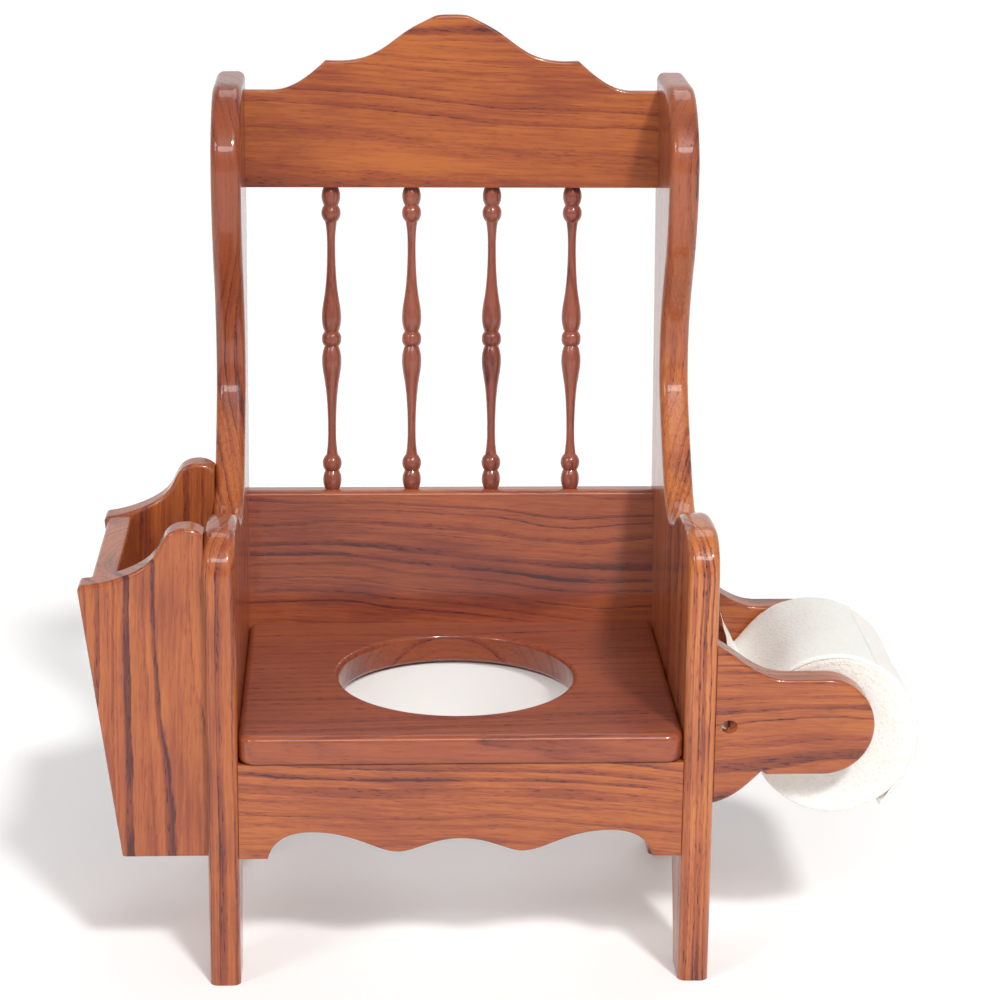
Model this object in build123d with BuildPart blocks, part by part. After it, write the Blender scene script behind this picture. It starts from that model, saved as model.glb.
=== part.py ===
from build123d import *
import os
from math import cos, radians, sin

os.makedirs("parts", exist_ok=True)

# ---------------------------------------------------------------- driving dimensions, in mm
board = 19.0                # thickness of the solid oak boards
seat_width = 272.0          # clear width between the two side panels
seat_top = 164.0            # height of the sitting surface
back_y = 214.0              # seat depth, from the legs' front edges to the back at seat height
rake = 6.5                  # lean of the back, in degrees from upright
fit = 0.3                   # gap between pieces that move on each other

panel_top = 528.0           # top of the side panels' ears
arm_top = 289.0             # top of the side panels' arm rests
arm_round = 26.0            # radius of the arm rests' front corner
panel_edge = 5.0            # round-over along the side panels' edges
leg_depth = 34.0            # front leg, front to rear
rear_leg_y = 197.0          # front edge of the rear leg at the floor
rear_foot_y = 228.0         # rear edge of the rear leg
arch_top = 74.0             # top of the arch between the legs

apron_bottom = 83.0
apron_y = 3.0               # how far the apron stands back from the legs' front edges
hole_y = 113.5              # seat hole's centre, back from the front edge
hole_radius = 75.5

crest_bottom = 293.5        # these five run up the slope of the back, from seat height
crest_end = 357.0
crest_cusp = 376.3
crest_peak = 406.2
lower_back_top = 90.8
spindle_pitch = 53.4
spindle_count = 4
tenon_length = 10.0
tenon_radius = 4.5

rack_reach = 76.0           # how far the rack stands out at the top of its outer corner
rack_rear_reach = 71.6      # the rear board is a little narrower there
rack_foot = 53.0            # and at its bottom
rack_bottom = 83.0
rack_corner_z = 257.5
rack_crown_z = 293.0
rack_front_y = 10.0
rack_pitch = 143.0          # from the front board's face to the rear board's face
rack_side_board = 16.0      # thickness of the slanted outer board
rack_floor_board = 12.0
rack_lip = 7.0              # how far the end boards stand proud of the slanted board

arm_front_y = 3.0           # paper holder's front arm
arm_pitch = 140.0           # from the front arm's face to the rear arm's face
arm_end_reach = 67.0        # centre of the arm's round end, out from the side panel
arm_end_z = 167.0
arm_end_radius = 31.0
roller_reach = 77.5         # roller's axis, out from the side panel
roller_z = 165.0
roller_radius = 10.0
roll_radius = 52.3
roll_length = 115.0
core_radius = 21.5          # inside of the cardboard core
core_wall = 0.8

pan_radius = 80.0           # inside of the pan at its rim
pan_bottom_radius = 66.0
pan_bottom = 77.0
pan_wall = 2.5
flange_half_width = 97.0
flange_thickness = 3.0
flange_rear = 208.0

screw_radius = 2.0
screw_length = 38.0
plug_radius = 5.0
plug_depth = 6.0

# ---------------------------------------------------------------- values that follow from them
slope = radians(rake)
half_inside = seat_width / 2
half_width = half_inside + board
roll_hang = core_radius - roller_radius - fit       # the roll's centre hangs below its roller
roll_z = roller_z - roll_hang
width_left = half_width + rack_reach
width_right = half_width + roller_reach + roll_radius
depth = back_y + crest_peak * sin(slope) + board * cos(slope) - 0.3
seat_under = seat_top - board

# the origin is on the floor, under the middle of the whole piece
chair_x = (width_left - width_right) / 2            # the chair's own centre plane
front = -depth / 2                                  # the legs' front edges


def side_plane(x):
    """Upright plane across the chair: local x runs to the rear, local y runs up, normal +X."""
    return Plane(origin=(chair_x + x, front, 0), x_dir=(0, 1, 0), z_dir=(1, 0, 0))


def front_plane(y):
    """Upright plane facing the sitter's front: local x runs right, local y runs up, normal -Y."""
    return Plane(origin=(chair_x, front + y, 0), x_dir=(1, 0, 0), z_dir=(0, -1, 0))


def top_plane(z):
    """Level plane: local x runs right, local y runs to the rear."""
    return Plane(origin=(chair_x, front, z), x_dir=(1, 0, 0), z_dir=(0, 0, 1))


# the front surface of the raked back: local y runs up the slope, normal towards the sitter
back_plane = Plane(
    origin=(chair_x, front + back_y, seat_top),
    x_dir=(1, 0, 0),
    z_dir=(0, -cos(slope), sin(slope)),
)


def on_back(up, inward=0.0):
    """Depth and height of a point that far up the raked back and that far behind its face."""
    y = back_y + up * sin(slope) + inward * cos(slope)
    z = seat_top + up * cos(slope) - inward * sin(slope)
    return (y, z)


def rear_edge_y(z):
    """Depth of the back's rear surface at a height."""
    at_seat = back_y + board / cos(slope)
    return at_seat + (z - seat_top) * sin(slope) / cos(slope)


def save(part, name):
    part.label = name
    export_step(part, f"parts/{name}.step")


# ---------------------------------------------------------------- screws, as places on a side panel
seat_screws = [(y, seat_top - board / 2) for y in (40.0, 113.5, 190.0)]
lower_back_screws = [on_back(up, board / 2) for up in (18.0, 72.0)]
crest_screws = [on_back(up, board / 2) for up in (308.0, 342.0)]
frame_screws = seat_screws + lower_back_screws + crest_screws
apron_dowels = [(apron_y + board / 2, z) for z in (98.0, 129.0)]
dowel_radius = 4.0
dowel_length = 32.0
dowel_in_panel = 11.0
rack_screw_ys = (rack_front_y + board / 2, rack_front_y + rack_pitch + board / 2)
rack_screws = [(y, z) for y in rack_screw_ys for z in (186.0, 238.0)]
head_depth = 7.0                                    # screw heads sit this deep, under a plug
pilot_depth = screw_length - (board - head_depth)


def wood_screws(places, face_x, inward):
    """Countersunk screws driven from a face along +X (inward = 1) or -X (inward = -1)."""
    with BuildPart() as screws:
        with BuildSketch(side_plane(face_x + inward * head_depth)):
            with Locations(*places):
                Circle(screw_radius - 0.1)
        extrude(amount=inward * screw_length)
        with BuildSketch(side_plane(face_x + inward * head_depth)):
            with Locations(*places):
                Circle(3.8)
        extrude(amount=inward * 2.0, taper=40)
    return screws.part


def flush_plugs(places, face_x, inward):
    """Wooden plugs cut level with the face that they close."""
    with BuildPart() as plugs:
        with BuildSketch(side_plane(face_x + inward * plug_depth)):
            with Locations(*places):
                Circle(plug_radius)
        extrude(amount=-inward * plug_depth)
    return plugs.part


def button_plugs(places, face_x, inward):
    """Domed wooden buttons that close the screw holes."""
    with BuildPart() as plugs:
        with BuildSketch(side_plane(face_x + inward * plug_depth)):
            with Locations(*places):
                Circle(plug_radius)
        extrude(amount=-inward * (plug_depth + 1.0))
        with BuildSketch(side_plane(face_x - inward * 1.0)):
            with Locations(*places):
                Circle(plug_radius)
        extrude(amount=-inward * 1.5, taper=45)
    return plugs.part


def screw_holes(places, face_x, inward):
    """Counterbored holes through a side panel: a plug recess and a shank hole."""
    with BuildSketch(side_plane(face_x)) as recesses:
        with Locations(*places):
            Circle(plug_radius)
    extrude(recesses.sketch, amount=inward * head_depth, mode=Mode.SUBTRACT)
    with BuildSketch(side_plane(face_x)) as shanks:
        with Locations(*places):
            Circle(screw_radius)
    extrude(shanks.sketch, amount=inward * board, mode=Mode.SUBTRACT)
    with BuildSketch(side_plane(face_x + inward * head_depth)) as sinks:
        with Locations(*places):
            Circle(3.9)
    extrude(sinks.sketch, amount=inward * 2.0, taper=40, mode=Mode.SUBTRACT)


def dowel_holes(side, outward):
    """Blind dowel holes from one inner face, outwards into the panel or inwards into the apron."""
    reach = dowel_in_panel if side == outward else dowel_length - dowel_in_panel
    with BuildSketch(side_plane(side * half_inside)) as bores:
        with Locations(*apron_dowels):
            Circle(dowel_radius)
    extrude(bores.sketch, amount=outward * (reach + 0.5), mode=Mode.SUBTRACT)


def pilot_holes(places):
    """Pilot holes in both ends of a board that runs between the side panels."""
    for end in (-1, 1):
        with BuildSketch(side_plane(end * half_inside)) as pilots:
            with Locations(*places):
                Circle(screw_radius)
        extrude(pilots.sketch, amount=-end * (pilot_depth + 1.0), mode=Mode.SUBTRACT)


# ---------------------------------------------------------------- side panels
def panel_outline():
    """Front edge, arm rest, waist, wing and ear, then the raked rear edge and the leg arch."""
    arm_corner = (arm_round, arm_top)
    valley = (126.0, 264.5)
    waist = (204.0, 356.0)
    wing = (168.5, 476.0)
    ear_top = (222.0, panel_top)
    rear_top = (rear_edge_y(panel_top), panel_top)
    knee_z = seat_top + (rear_foot_y - rear_edge_y(seat_top)) * cos(slope) / sin(slope)
    with BuildLine() as outline:
        Line((0, 0), (0, arm_top - arm_round))
        TangentArc((0, arm_top - arm_round), arm_corner, tangent=(0, 1))
        Spline(arm_corner, (84.0, 279.5), valley, tangents=((1, 0), (1, 0.05)))
        Spline(valley, (164.0, 286.0), (191.0, 319.0), waist, tangents=((1, 0.05), (0, 1)))
        Spline(waist, (182.0, 418.0), wing, tangents=((0, 1), (0, 1)))
        Spline(wing, (186.0, 512.5), ear_top, tangents=((0, 1), (1, 0)))
        Polyline(ear_top, rear_top, (rear_foot_y, knee_z), (rear_foot_y, 0), (rear_leg_y, 0))
        Spline(
            (rear_leg_y, 0),
            (leg_depth + 95.0, arch_top),
            (leg_depth + 48.0, arch_top),
            (leg_depth, 0),
            tangents=((-0.25, 1), (-0.35, -1)),
        )
        Line((leg_depth, 0), (0, 0))
    make_face(outline.edges())


def side_panel(side):
    """One side panel; side is -1 for the left and 1 for the right."""
    outer = side * half_width
    with BuildPart() as panel:
        with BuildSketch(side_plane(outer)):
            panel_outline()
        extrude(amount=-side * board)
        rims = panel.faces().sort_by(Axis.X)
        rim_edges = rims[0].edges() + rims[-1].edges()
        fillet(rim_edges.filter_by(lambda e: e.center().Z > 0.5), panel_edge)
        screw_holes(frame_screws, outer, -side)
        dowel_holes(side, side)
        if side < 0:
            screw_holes(rack_screws, -half_inside, -1)
        else:
            holder_holes()
    return panel.part


# ---------------------------------------------------------------- paper holder's pocket screws
pocket_angle = radians(34.0)                        # from square to the arm's face, towards the panel
pocket_mouth = 8.5                                  # centre of the pocket's mouth, out from the panel
pocket_radius = 4.2
pocket_depth = 7.0                                  # from the mouth to the screw's head
pocket_screw_length = 28.0


def pocket_plane(face_y, inward):
    """Plane across a pocket hole, at its mouth; its normal runs down the hole."""
    down = (-sin(pocket_angle), inward * cos(pocket_angle), 0)
    mouth = (chair_x + half_width + pocket_mouth, front + face_y, roller_z + 3.0)
    return Plane(origin=mouth, x_dir=(0, 0, 1), z_dir=down)


pocket_planes = [
    pocket_plane(arm_front_y, 1),
    pocket_plane(arm_front_y + arm_pitch + board, -1),
]


def pocket_hole(plane):
    """The wide pocket, and the shank hole beyond it."""
    with BuildSketch(plane.offset(-6.0)) as pocket:
        Circle(pocket_radius)
    extrude(pocket.sketch, amount=pocket_depth + 6.0, mode=Mode.SUBTRACT)
    with BuildSketch(plane) as shank:
        Circle(screw_radius)
    extrude(shank.sketch, amount=pocket_screw_length + 6.0, mode=Mode.SUBTRACT)


def holder_holes():
    """Shank holes of both pocket screws, where they enter the side panel."""
    for plane in pocket_planes:
        with BuildSketch(plane) as shank:
            Circle(screw_radius)
        extrude(shank.sketch, amount=pocket_screw_length + 6.0, mode=Mode.SUBTRACT)


# ---------------------------------------------------------------- boards between the side panels
with BuildPart() as seat:
    with BuildSketch(side_plane(-half_inside)):
        with BuildLine():
            rear_under = (rear_edge_y(seat_under) - board / cos(slope), seat_under)
            Polyline((0, seat_under), rear_under, (back_y, seat_top), (0, seat_top), close=True)
        make_face()
    extrude(amount=seat_width)
    fillet(seat.edges().filter_by(Axis.Z).group_by(Axis.Y)[0], 11.0)
    front_rims = seat.edges().filter_by(lambda e: e.center().Y < front + 8.0)
    fillet(front_rims.filter_by(lambda e: abs(e.center().Z - seat_under - board / 2) > 2.0), 4.5)
    with BuildSketch(top_plane(seat_under)):
        with Locations((0, hole_y)):
            Circle(hole_radius)
    extrude(amount=board, mode=Mode.SUBTRACT)
    fillet(seat.edges().filter_by(GeomType.CIRCLE).sort_by(SortBy.RADIUS)[-2:], 3.0)
    pilot_holes(seat_screws)


with BuildPart() as apron:
    with BuildSketch(front_plane(apron_y)):
        with BuildLine():
            for s in (-1, 1):
                foot = (s * 118.5, apron_bottom)
                bay = (s * 92.0, apron_bottom + 17.3)
                lobe = (s * 36.5, apron_bottom + 4.2)
                Line((s * half_inside, seat_under), (s * half_inside, apron_bottom))
                Line((s * half_inside, apron_bottom), foot)
                Spline(foot, bay, tangents=((-s * 0.25, 1), (-s, 0)))
                Spline(bay, lobe, (0, apron_bottom + 12.6), tangents=((-s, 0), (-s, 0)))
            Line((-half_inside, seat_under), (half_inside, seat_under))
        make_face()
    extrude(amount=-board)
    fillet(apron.edges().filter_by(lambda e: e.center().Z < apron_bottom + 14.0)
           .filter_by(lambda e: abs(e.center().Y - front - apron_y) < 0.1), 1.5)
    dowel_holes(-1, 1)
    dowel_holes(1, -1)


with BuildPart() as apron_dowel_set:
    for end in (-1, 1):
        with BuildSketch(side_plane(end * (half_inside + dowel_in_panel))):
            with Locations(*apron_dowels):
                Circle(dowel_radius)
        extrude(amount=-end * dowel_length)


with BuildPart() as lower_back:
    with BuildSketch(back_plane):
        with Locations((0, lower_back_top / 2 - 10.5)):
            Rectangle(seat_width, lower_back_top + 21.0)
    extrude(amount=-board)
    with BuildSketch(top_plane(0)):
        with Locations((0, back_y)):
            Rectangle(seat_width + 2, 90)
    extrude(amount=seat_under, mode=Mode.SUBTRACT)
    top_rims = lower_back.edges().filter_by(Axis.X).sort_by(Axis.Z)[-2:]
    fillet(top_rims, 4.0)
    pilot_holes(lower_back_screws)


spindle_xs = [(i - (spindle_count - 1) / 2) * spindle_pitch for i in range(spindle_count)]


def slope_plane(up):
    """Plane square to the back's slope; local x runs right and its normal runs up the slope."""
    y, z = on_back(up, board / 2)
    return Plane(
        origin=(chair_x, front + y, z),
        x_dir=(1, 0, 0),
        z_dir=(0, sin(slope), cos(slope)),
    )


with BuildPart() as crest:
    with BuildSketch(back_plane):
        with BuildLine():
            for s in (-1, 1):
                cove = (s * 119.0, crest_end)
                cusp = (s * 83.0, crest_cusp)
                Line((s * half_inside, crest_bottom), (s * half_inside, crest_end))
                Line((s * half_inside, crest_end), cove)
                Spline(cove, (s * 98.0, 364.0), cusp, tangents=((-s, 0), (-s, 0.95)))
                Spline(
                    cusp,
                    (s * 70.0, 376.2),
                    (s * 56.0, 378.9),
                    (s * 44.0, 385.2),
                    (s * 28.3, 396.4),
                    (s * 14.0, 403.9),
                    (0, crest_peak),
                    tangents=((-s, -0.05), (-s, 0)),
                )
            Line((-half_inside, crest_bottom), (half_inside, crest_bottom))
        make_face()
    extrude(amount=-board)
    upper = crest.edges().filter_by(lambda e: e.center().Z > on_back(crest_end - 6)[1])
    ends = upper.filter_by(lambda e: abs(abs(e.center().X - chair_x) - half_inside) < 0.1)
    across = upper.filter_by(lambda e: abs(e.tangent_at(0.5).X) < 0.05)
    fillet(upper - ends - across, 1.8)
    with BuildSketch(slope_plane(crest_bottom)):
        with Locations(*[(x, 0) for x in spindle_xs]):
            Circle(tenon_radius + 0.1)
    extrude(amount=tenon_length + 1.0, mode=Mode.SUBTRACT)
    pilot_holes(crest_screws)


with BuildPart() as lower_back_bored:
    add(lower_back.part)
    with BuildSketch(slope_plane(lower_back_top)):
        with Locations(*[(x, 0) for x in spindle_xs]):
            Circle(tenon_radius + 0.1)
    extrude(amount=-(tenon_length + 1.0), mode=Mode.SUBTRACT)


# ---------------------------------------------------------------- turned spindles
spindle_half = (crest_bottom - lower_back_top) / 2


def spindle_half_outline(s):
    """One half of the turned outline, from the middle bead to an end; s is 1 up or -1 down."""
    groove = (4.6, s * 4.8)
    shoulder = (3.9, s * 78.2)
    collar = (4.6, s * 88.9)
    end = (4.6, s * spindle_half)
    ThreePointArc((6.4, 0), (6.0, s * 2.9), groove)
    Spline(
        groove,
        (5.9, s * 8.8),
        (6.5, s * 14.2),
        (6.0, s * 20.9),
        (4.6, s * 29.6),
        (3.5, s * 39.5),
        (2.9, s * 50.0),
        (2.7, s * 60.0),
        (2.9, s * 69.5),
        shoulder,
    )
    ThreePointArc(shoulder, (6.4, s * 83.6), collar)
    ThreePointArc(collar, (6.2, s * 94.3), end)


def spindle(x):
    middle = slope_plane((crest_bottom + lower_back_top) / 2)
    lathe = Plane(
        origin=middle.from_local_coords(Vector(x, 0, 0)),
        x_dir=(1, 0, 0),
        z_dir=middle.y_dir * -1,
    )
    tip = spindle_half + tenon_length
    with BuildPart() as turned:
        with BuildSketch(lathe):
            with BuildLine():
                spindle_half_outline(1)
                spindle_half_outline(-1)
                for s in (-1, 1):
                    Polyline(
                        (4.6, s * spindle_half),
                        (tenon_radius, s * spindle_half),
                        (tenon_radius, s * tip),
                        (0, s * tip),
                    )
                Line((0, -tip), (0, tip))
            make_face()
        revolve(axis=Axis(lathe.origin, lathe.y_dir), revolution_arc=360)
    return turned.part


# ---------------------------------------------------------------- magazine rack, on the left
def rack_x(out):
    """Local x of a point that far out from the left side panel."""
    return -half_width - out


rack_lean = (rack_reach - rack_foot) / (rack_corner_z - rack_bottom)


def slanted_x(z, inset):
    """Local x on the rack's slanted side, that far inside the end boards' outer edges."""
    return rack_x(rack_foot + (z - rack_bottom) * rack_lean - inset)


def rack_end_board(y, reach):
    """An end board of the rack, that reaches that far out at its upper corner."""
    crown = (rack_x(10.0), rack_crown_z)
    corner = (rack_x(reach), rack_corner_z)
    with BuildPart() as end_board:
        with BuildSketch(front_plane(y)):
            with BuildLine():
                Polyline(
                    (rack_x(0), rack_crown_z - 4.0),
                    (rack_x(0), rack_bottom),
                    (rack_x(rack_foot), rack_bottom),
                    corner,
                )
                Spline(
                    corner,
                    (rack_x(50.0), 262.5),
                    (rack_x(28.0), 277.5),
                    crown,
                    tangents=((1, 0.06), (1, 0)),
                )
                TangentArc(crown, (rack_x(0), rack_crown_z - 4.0), tangent=(1, 0))
            make_face()
        extrude(amount=-board)
        fillet(end_board.edges().filter_by(Axis.Y).sort_by(Axis.X)[0], 3.5)
        rims = end_board.faces().sort_by(Axis.Y)
        edges = rims[0].edges() + rims[-1].edges()
        free = edges.filter_by(lambda e: e.center().X < chair_x - half_width - 0.5)
        fillet(free.filter_by(lambda e: e.center().Z > rack_bottom + 1.0), 2.5)
        with BuildSketch(side_plane(-half_width)):
            with Locations(*[p for p in rack_screws if abs(p[0] - y - board / 2) < 1.0]):
                Circle(screw_radius)
        extrude(amount=-(pilot_depth + 1.0), mode=Mode.SUBTRACT)
    return end_board.part


rack_inner_y = rack_front_y + board
rack_inner_length = rack_pitch - board
rack_side_top = rack_corner_z - 0.5
inner_top = rack_side_top + 2.0

with BuildPart() as rack_outer_board:
    with BuildSketch(front_plane(rack_inner_y)):
        with BuildLine():
            Polyline(
                (slanted_x(rack_bottom, rack_lip), rack_bottom),
                (slanted_x(rack_side_top, rack_lip), rack_side_top),
                (slanted_x(inner_top, rack_lip + rack_side_board), inner_top),
                (slanted_x(rack_bottom, rack_lip + rack_side_board), rack_bottom),
                close=True,
            )
        make_face()
    extrude(amount=-rack_inner_length)
    fillet(rack_outer_board.edges().filter_by(Axis.Y).sort_by(Axis.Z)[-2:], 2.5)

with BuildPart() as rack_bottom_board:
    with BuildSketch(front_plane(rack_inner_y)):
        inset = rack_lip + rack_side_board
        floor_top = rack_bottom + rack_floor_board
        with BuildLine():
            Polyline(
                (slanted_x(rack_bottom, inset), rack_bottom),
                (slanted_x(floor_top, inset), floor_top),
                (rack_x(0), floor_top),
                (rack_x(0), rack_bottom),
                close=True,
            )
        make_face()
    extrude(amount=-rack_inner_length)


# ---------------------------------------------------------------- paper holder, on the right
def holder_x(out):
    """Local x of a point that far out from the right side panel."""
    return half_width + out


def holder_arm(y, plane, socket_from):
    """An arm with a flared root and a round end; socket_from is the y of its inner face."""
    end_top = (holder_x(arm_end_reach), arm_end_z + arm_end_radius)
    end_tip = (holder_x(arm_end_reach + arm_end_radius), arm_end_z)
    end_bottom = (holder_x(arm_end_reach), arm_end_z - arm_end_radius)
    notch = (holder_x(29.5), end_bottom[1] + 2.2)
    with BuildPart() as arm:
        with BuildSketch(front_plane(y)):
            with BuildLine():
                Spline(
                    (holder_x(0), 220.0),
                    (holder_x(18.0), 207.5),
                    (holder_x(44.0), end_top[1]),
                    tangents=((1, -0.6), (1, 0)),
                )
                Line((holder_x(44.0), end_top[1]), end_top)
                ThreePointArc(end_top, end_tip, end_bottom)
                Line(end_bottom, (holder_x(32.5), end_bottom[1]))
                Line((holder_x(32.5), end_bottom[1]), notch)
                Spline(notch, (holder_x(0), 117.5), tangents=((-1, -1.0), (-1, -0.25)))
                Line((holder_x(0), 117.5), (holder_x(0), 220.0))
            make_face()
        extrude(amount=-board)
        rims = arm.faces().sort_by(Axis.Y)
        edges = rims[0].edges() + rims[-1].edges()
        free = edges.filter_by(lambda e: e.center().X > chair_x + half_width + 0.5)
        fillet(free, 2.5)
        pocket_hole(plane)
        inward = 1 if socket_from > y else -1
        with BuildSketch(front_plane(socket_from)):
            with Locations((holder_x(roller_reach), roller_z)):
                Circle(socket_radius)
        extrude(amount=inward * socket_depth, mode=Mode.SUBTRACT)
    return arm.part


socket_radius = 4.6
socket_depth = 7.0
arm_inner_front = arm_front_y + board
arm_inner_rear = arm_front_y + arm_pitch
holder_gap = arm_inner_rear - arm_inner_front
pin_radius = socket_radius - 0.4
pin_length = socket_depth + 0.5
tube_wall = 1.4
half_tube = 68.0
plunger_radius = roller_radius - tube_wall - 0.1
tube_front_y = arm_inner_front + 1.0
plunger_rear_y = arm_inner_rear - 1.0


def roller_plane(y):
    """Plane across the roller, normal to the rear, centred on the roller's axis."""
    origin = (chair_x + holder_x(roller_reach), front + y, roller_z)
    return Plane(origin=origin, x_dir=(1, 0, 0), z_dir=(0, 1, 0))


with BuildPart() as roller_tube:
    with BuildSketch(roller_plane(tube_front_y)):
        Circle(roller_radius)
    extrude(amount=half_tube)
    fillet(roller_tube.edges().sort_by(Axis.Y)[0], 1.5)
    with BuildSketch(roller_plane(tube_front_y + 2.5)):
        Circle(roller_radius - tube_wall)
    extrude(amount=half_tube, mode=Mode.SUBTRACT)
    with BuildSketch(roller_plane(tube_front_y - pin_length)):
        Circle(pin_radius)
    extrude(amount=pin_length)
    fillet(roller_tube.edges().sort_by(Axis.Y)[0], 1.2)

with BuildPart() as roller_plunger:
    with BuildSketch(roller_plane(plunger_rear_y)):
        Circle(plunger_radius)
    extrude(amount=-half_tube)
    fillet(roller_plunger.edges().sort_by(Axis.Y)[-1], 1.5)
    with BuildSketch(roller_plane(plunger_rear_y - 2.5)):
        Circle(plunger_radius - tube_wall)
    extrude(amount=-half_tube, mode=Mode.SUBTRACT)
    with BuildSketch(roller_plane(plunger_rear_y)):
        Circle(pin_radius)
    extrude(amount=pin_length)
    fillet(roller_plunger.edges().sort_by(Axis.Y)[-1], 1.2)

spring_radius = plunger_radius - tube_wall - 1.4
spring_start = tube_front_y + 2.5 + 0.6
spring_end = plunger_rear_y - 2.5 - 0.6
spring_turns = 22

with BuildPart() as roller_spring:
    coil_pitch = (spring_end - spring_start) / spring_turns
    with BuildLine():
        coil = Helix(
            pitch=coil_pitch,
            height=spring_end - spring_start,
            radius=spring_radius,
            center=roller_plane(spring_start).origin,
            direction=(0, 1, 0),
        )
    with BuildSketch(Plane(origin=coil @ 0, z_dir=coil % 0)):
        Circle(0.5)
    sweep(path=coil, is_frenet=True)


def roll_plane(y):
    """Plane across the paper roll, normal to the rear, centred on the roll's own axis."""
    origin = (chair_x + holder_x(roller_reach), front + y, roll_z)
    return Plane(origin=origin, x_dir=(1, 0, 0), z_dir=(0, 1, 0))


roll_front_y = arm_inner_front + (holder_gap - roll_length) / 2

with BuildPart() as paper_roll:
    with BuildSketch(roll_plane(roll_front_y)):
        Circle(roll_radius)
        Circle(core_radius + core_wall, mode=Mode.SUBTRACT)
    extrude(amount=roll_length)
    fillet(paper_roll.edges().filter_by(GeomType.CIRCLE).sort_by(SortBy.RADIUS)[-2:], 1.2)

with BuildPart() as roll_core:
    with BuildSketch(roll_plane(roll_front_y)):
        Circle(core_radius + core_wall)
        Circle(core_radius, mode=Mode.SUBTRACT)
    extrude(amount=roll_length)

# the loose end leaves the roll's top, runs down beside it and is creased back up
tail_thickness = 0.8
tail_touch = radians(43.0)                          # where it touches the roll, from level
tail_up = 17.0
tail_down = 19.0
with BuildPart() as paper_tail:
    with BuildSketch(front_plane(roll_front_y)):
        touch_r = roll_radius + tail_thickness / 2
        cx = holder_x(roller_reach)
        touch = (cx - touch_r * cos(tail_touch), roll_z + touch_r * sin(tail_touch))
        along = (sin(tail_touch), cos(tail_touch))
        top = (touch[0] + along[0] * tail_up, touch[1] + along[1] * tail_up)
        crease = (touch[0] - along[0] * tail_down, touch[1] - along[1] * tail_down)
        tip = (crease[0] - 8.5, crease[1] + 20.0)
        with BuildLine():
            Polyline(top, touch, crease, tip)
        trace(line_width=tail_thickness)
    extrude(amount=-roll_length)


# ---------------------------------------------------------------- potty pan and its runners
flange_top = seat_under - 2.2
flange_bottom = flange_top - flange_thickness
flange_front = apron_y + board + 2.0
lip_depth = 9.0

with BuildPart() as potty_pan:
    with BuildSketch(top_plane(flange_bottom)):
        with Locations((0, (flange_front + flange_rear) / 2)):
            RectangleRounded(2 * flange_half_width, flange_rear - flange_front, 14.0)
    extrude(amount=flange_thickness)
    bowl_middle = Plane(
        origin=(chair_x, front + hole_y, 0), x_dir=(1, 0, 0), z_dir=(0, -1, 0)
    )
    with BuildSketch(bowl_middle):
        with BuildLine():
            foot_round = 12.0
            Line((0, pan_bottom), (pan_bottom_radius - foot_round, pan_bottom))
            TangentArc(
                (pan_bottom_radius - foot_round, pan_bottom),
                (pan_bottom_radius, pan_bottom + foot_round),
                tangent=(1, 0),
            )
            Line((pan_bottom_radius, pan_bottom + foot_round), (pan_radius + pan_wall, flange_bottom))
            Line((pan_radius + pan_wall, flange_bottom), (0, flange_bottom))
            Line((0, flange_bottom), (0, pan_bottom))
        make_face()
    revolve(axis=Axis((chair_x, front + hole_y, 0), (0, 0, 1)), revolution_arc=360)
    with BuildSketch(bowl_middle):
        with BuildLine():
            inner_foot = pan_bottom_radius - pan_wall
            inner_floor = pan_bottom + pan_wall
            Line((0, inner_floor), (inner_foot - foot_round, inner_floor))
            TangentArc(
                (inner_foot - foot_round, inner_floor),
                (inner_foot, inner_floor + foot_round),
                tangent=(1, 0),
            )
            Line((inner_foot, inner_floor + foot_round), (pan_radius, flange_top))
            Line((pan_radius, flange_top), (0, flange_top))
            Line((0, flange_top), (0, inner_floor))
        make_face()
    revolve(axis=Axis((chair_x, front + hole_y, 0), (0, 0, 1)), revolution_arc=360, mode=Mode.SUBTRACT)
    with BuildSketch(top_plane(flange_bottom)):
        with Locations((0, flange_rear - 1.5)):
            Rectangle(120.0, 3.0)
    extrude(amount=-lip_depth)

runner_lip_top = flange_bottom - fit
runner_outer = flange_half_width + 14.0
runner_bottom = runner_lip_top - 8.0
runner_inner = flange_half_width - 9.0
runner_step = flange_half_width + 0.6
runner_start = apron_y + board
runner_length = 172.0
runner_screw_ys = (40.0, 105.0, 170.0)


def pan_runner(side):
    """Rabbeted strip under the seat that carries one edge of the pan's flange."""
    step = runner_step
    with BuildPart() as runner:
        with BuildSketch(front_plane(runner_start)):
            with BuildLine():
                Polyline(
                    (side * runner_inner, runner_bottom),
                    (side * runner_outer, runner_bottom),
                    (side * runner_outer, seat_under),
                    (side * step, seat_under),
                    (side * step, runner_lip_top),
                    (side * runner_inner, runner_lip_top),
                    close=True,
                )
            make_face()
        extrude(amount=-runner_length)
        with BuildSketch(top_plane(runner_bottom)):
            with Locations(*[(side * (step + runner_outer) / 2, y) for y in runner_screw_ys]):
                Circle(screw_radius)
        extrude(amount=seat_under - runner_bottom, mode=Mode.SUBTRACT)
    return runner.part


runner_screw_x = (runner_step + runner_outer) / 2
runner_screw_places = [(s * runner_screw_x, y) for s in (-1, 1) for y in runner_screw_ys]
runner_screw_bite = 10.0

with BuildPart() as runner_screws:
    with BuildSketch(top_plane(runner_bottom - 1.5)):
        with Locations(*runner_screw_places):
            Circle(3.6)
    extrude(amount=1.5)
    with BuildSketch(top_plane(runner_bottom)):
        with Locations(*runner_screw_places):
            Circle(screw_radius - 0.1)
    extrude(amount=seat_under - runner_bottom + runner_screw_bite)

with BuildPart() as seat_bored:
    add(seat.part)
    with BuildSketch(top_plane(seat_under)):
        with Locations(*runner_screw_places):
            Circle(screw_radius)
    extrude(amount=runner_screw_bite + 1.0, mode=Mode.SUBTRACT)


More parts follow.
